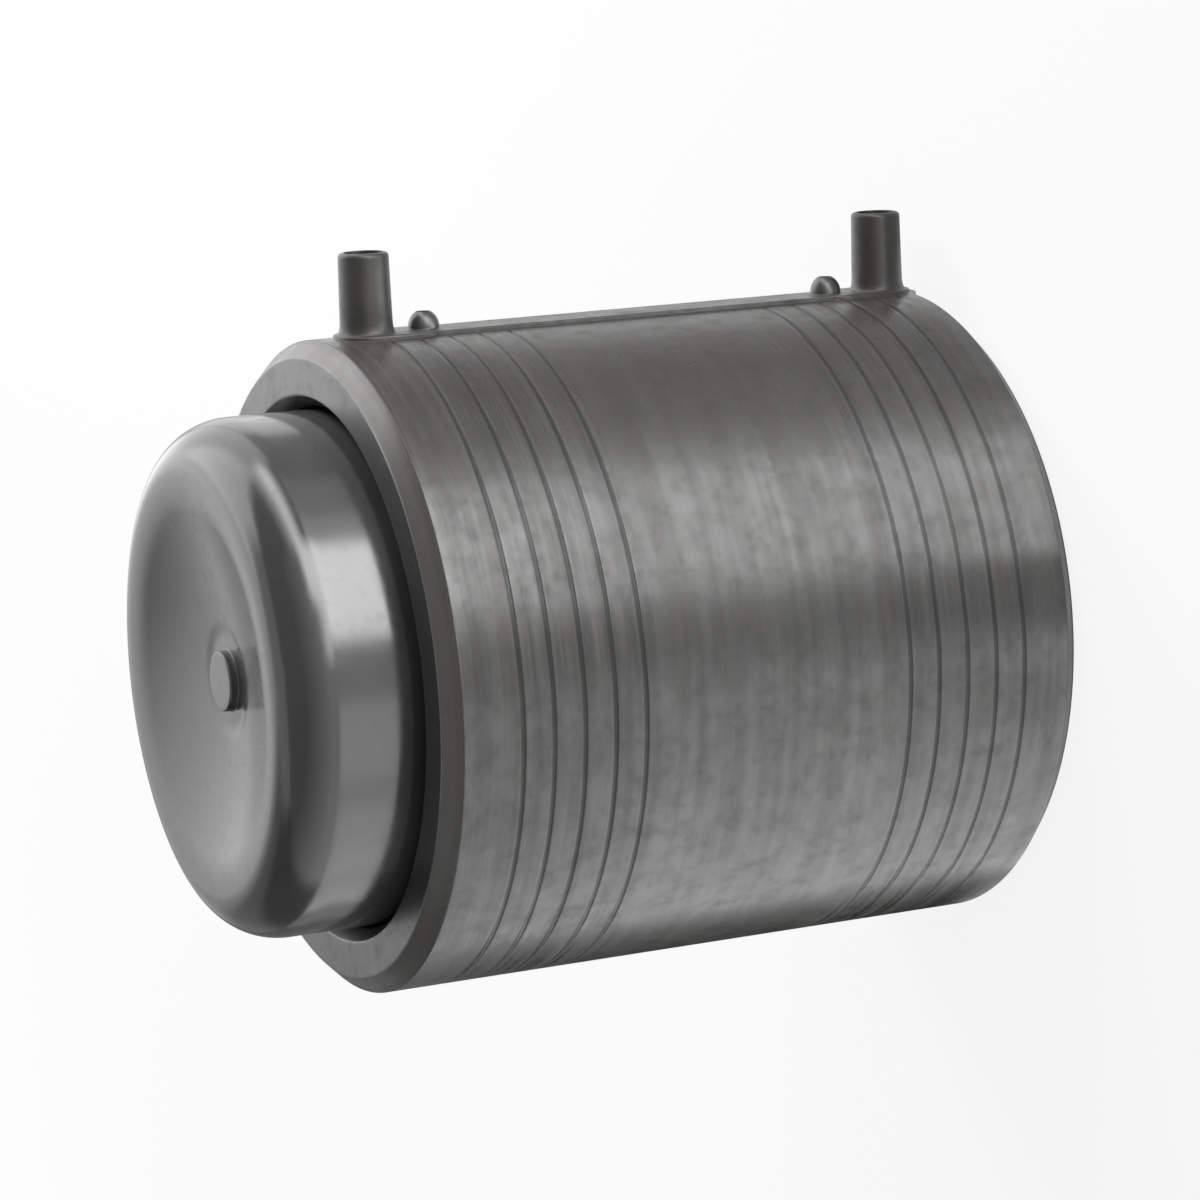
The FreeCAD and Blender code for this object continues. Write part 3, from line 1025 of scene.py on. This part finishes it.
def sky():
    world = bpy.data.worlds.new("sky")
    bpy.context.scene.world = world
    world.use_nodes = True
    tree = world.node_tree
    paths = put(tree, "LightPath", {})
    shown = calc(tree, "MAXIMUM", paths["Is Camera Ray"], paths["Is Glossy Ray"])
    shown = calc(tree, "MAXIMUM", shown, paths["Is Transmission Ray"])
    strength = fade(tree, shown, 0, 1, stage["skyLight"], 1.0)
    background = tree.nodes["Background"]
    background.inputs["Color"].default_value = (1, 1, 1, 1)
    tree.links.new(strength, background.inputs["Strength"])


# places in metres, powers in watts
lamps = {
    "key": {"place": (1.05, 0.05, 0.62), "size": 0.5, "power": 6.0},
    "side": {"place": (0.71, 0.85, 0.46), "size": 0.5, "power": 12.0},
    "fill": {"place": (-0.8, -0.9, 0.35), "size": 0.8, "power": 0.6},
}


def lamp(name):
    values = lamps[name]
    light = bpy.data.lights.new(name, "AREA")
    light.shape = "DISK"
    light.size = values["size"]
    light.energy = values["power"]
    holder = bpy.data.objects.new(name, light)
    bpy.context.scene.collection.objects.link(holder)
    holder.location = values["place"]
    aim = Vector(stage["lampAim"]) - holder.location
    holder.rotation_euler = aim.to_track_quat("-Z", "Y").to_euler()
    holder.visible_camera = False
    holder.visible_glossy = False


def reflector(name, rings, lights):
    # a surface that only gloss sees, with the light of each of its points
    card = skin(name, rings, openEnds=True)
    layer = card.data.attributes.new("light", "FLOAT", "POINT")
    layer.data.foreach_set("value", lights)
    material = bpy.data.materials.new(name)
    material.use_nodes = True
    tree = material.node_tree
    light = put(tree, "Attribute", {}, attribute_name="light")["Fac"]
    glow = put(tree, "Emission", {"Color": (1, 1, 1, 1), "Strength": light})[0]
    tree.links.new(glow, tree.nodes["Material Output"].inputs["Surface"])
    material.cycles.emission_sampling = "NONE"
    card.data.materials.append(material)
    card.visible_camera = False
    card.visible_diffuse = False
    card.visible_shadow = False
    card.visible_transmission = False


def spreadOver(width, count):
    return [width * (i / (count - 1) - 0.5) for i in range(count)]


def onCircle(angle, radius, height):
    return Vector((radius * math.cos(angle), radius * math.sin(angle), height))


floorCards = {
    "lift": 0.4,              # mm above the floor
    "gap": 0.5,               # mm between the wall and the card
    "split": 370.0,           # mm from the wall, where the near light passes into the far one
    "splitHalf": 40.0,        # mm to each side of it
    "reach": 1500.0,
    "footReach": 20.0,        # mm from the wall over which the light at its foot changes
    "footLeast": 1.1,
    "footMost": 3.0,
    "viewSide": 79.0,         # degrees: the wall at angle a mirrors the direction 2 a + viewSide
    "step": 0.5,
    "border": 3.0,            # degrees of wall over which one light passes into the next
    "samples": 7,
    # from and to angle of the wall that mirrors each part, and its near and far light
    "parts": [
        (-169, -150, 0.0, 0.2),
        (-150, -142, 0.2, 0.6),
        (-142, -130, 2.6, 1.8),
        (-130, -111, 3.2, 2.3),
        (-111, -104, 3.2, 1.9),
        (-104, -87, 2.6, 2.4),
        (-87, -73.5, 1.2, 1.5),
        (-73.5, -51, 5.0, 8.8),
        (-51, -44, 2.0, 2.2),
        (-44, -33, 0.95, 1.1),
        (-33, -14, 0.55, 0.5),
        (-14, 2, 1.0, 1.5),
        (2, 11, 1.0, 0.7),
    ],
}


def floorLight(wall):
    # the near and the far light, each a mean over the border; opposite walls mirror the same line
    first = floorCards["parts"][0][0]
    nearTotal, farTotal = 0, 0
    for offset in spreadOver(floorCards["border"], floorCards["samples"]):
        at = (wall + offset - first) % 180 + first
        part = next(p for p in floorCards["parts"] if p[0] <= at <= p[1])
        nearTotal += part[2]
        farTotal += part[3]
    return nearTotal / floorCards["samples"], farTotal / floorCards["samples"]


def floorCard():
    # a low surface round the fitting, laid along the rays that the turned wall sends down
    c = floorCards
    first, last = c["parts"][0][0], c["parts"][-1][1]
    steps = int(round((last - first) / c["step"]))
    startRadius = sleeveRadius + c["gap"] * mm
    walls = [first + (last - first) * k / steps for k in range(steps + 1)]
    near, far = zip(*[floorLight(wall) for wall in walls])
    foot = [min(max(light, c["footLeast"]), c["footMost"]) for light in near]
    lines = [
        (0, foot),
        (c["footReach"], near),
        (c["split"] - c["splitHalf"], near),
        (c["split"] + c["splitHalf"], far),
        (c["reach"], far),
    ]
    rings, lights = [], []
    for distance, values in lines:
        ring = []
        for wall in walls:
            start = onCircle(math.radians(wall), startRadius, c["lift"] * mm)
            ring.append(start + onCircle(math.radians(2 * wall + c["viewSide"]), distance * mm, 0))
        rings.append(ring)
        lights += values
    reflector("floorCard", rings, lights)


chamferCard = {
    "inset": 3.4,             # mm that it reaches in under the chamfer of the open end
    "light": 0.5,
    "columns": 90,
}


def chamferRing():
    c = chamferCard
    lift, gap = floorCards["lift"] * mm, floorCards["gap"] * mm
    angles = evenAngles(c["columns"]) + [0]
    rings = []
    for radius in (sleeveRadius - c["inset"] * mm, sleeveRadius + gap):
        rings.append([onCircle(a, radius, lift) for a in angles])
    reflector("chamferRing", rings, [c["light"]] * 2 * len(angles))


domeCards = {
    "distance": 1.65,         # metres
    "top": 88,                # degrees above the floor where the dome ends
    "step": 2.0,
    "border": 5.0,
    "samples": 4,
    # from and to azimuth, from and to height in degrees, and light; the last part that fits counts
    "parts": [
        (-180, 180, 0, 90, 0.36),
        (-180, -24, 0, 16, 1.4),
        (-180, -24, 16, 27, 1.0),
        (-180, -24, 27, 36, 0.8),
        (-180, -24, 36, 46, 0.55),
        (-75, -50, 0, 10, 5.5),
        (-50, -24, 0, 18, 7.0),
        (-24, 22, 20, 28, 2.0),
        (-24, 22, 8, 20, 5.5),
        (22, 80, 0, 22, 1.6),
        (22, 80, 22, 60, 2.7),
        (80, 94, 0, 16, 2.3),
        (80, 94, 16, 60, 1.8),
        (94, 98, 0, 15, 1.3),
        (94, 98, 15, 60, 1.5),
        (98, 104, 0, 15, 0.7),
        (98, 104, 15, 35, 1.2),
        (98, 104, 35, 60, 1.5),
        (104, 109, 0, 15, 0.65),
        (104, 109, 15, 60, 1.05),
        (109, 118, 0, 60, 0.7),
        (118, 140, 0, 60, 0.35),
        (140, 180, 0, 60, 0.14),
        (22, 180, 60, 90, 0.85),
    ],
}


def domeLight(side, height):
    total = 0
    offsets = spreadOver(domeCards["border"], domeCards["samples"])
    for across in offsets:
        for up in offsets:
            at = (side + across + 180) % 360 - 180
            level = abs(height + up)
            fitting = [p for p in domeCards["parts"] if p[0] <= at <= p[1] and p[2] <= level <= p[3]]
            total += fitting[-1][4] if fitting else domeCards["parts"][0][4]
    return total / len(offsets) ** 2


def domeCard():
    c = domeCards
    across, up = int(round(360 / c["step"])), int(round(c["top"] / c["step"]))
    rings, lights = [], []
    for k in range(up + 1):
        height = c["top"] * k / up
        rise = math.radians(height)
        ring = []
        for j in range(across + 1):
            side = 360 * j / across - 180
            place = onCircle(math.radians(side), math.cos(rise), math.sin(rise))
            ring.append(place * c["distance"])
            lights.append(domeLight(side, height))
        rings.append(ring)
    reflector("domeCard", rings, lights)


floorPiece()
sky()
for name in lamps:
    lamp(name)
floorCard()
chamferRing()
domeCard()
print("floor, lamps and cards placed")


cameraSet = {
    "place": (0.1904, -0.9334, 0.5113),  # metres
    "aim": (0.0085, 0.0017, 0.0899),
    "roll": 96.72,            # degrees clockwise, so that the fitting's axis lies across the picture
    "lens": 126.12,
    "sensor": 36.0,
}


def photoCamera():
    c = cameraSet
    data = bpy.data.cameras.new("photoCamera")
    data.lens = c["lens"]
    data.sensor_width = c["sensor"]
    data.sensor_fit = "HORIZONTAL"
    camera = bpy.data.objects.new("photoCamera", data)
    bpy.context.scene.collection.objects.link(camera)
    ahead = Vector(c["aim"]) - Vector(c["place"])
    level = ahead.to_track_quat("-Z", "Y").to_matrix().to_4x4()
    roll = Matrix.Rotation(-math.radians(c["roll"]), 4, "Z")
    camera.matrix_world = Matrix.Translation(c["place"]) @ level @ roll
    bpy.context.scene.camera = camera


photoCamera()
bpy.context.scene.view_settings.view_transform = "Standard"
print("camera placed")
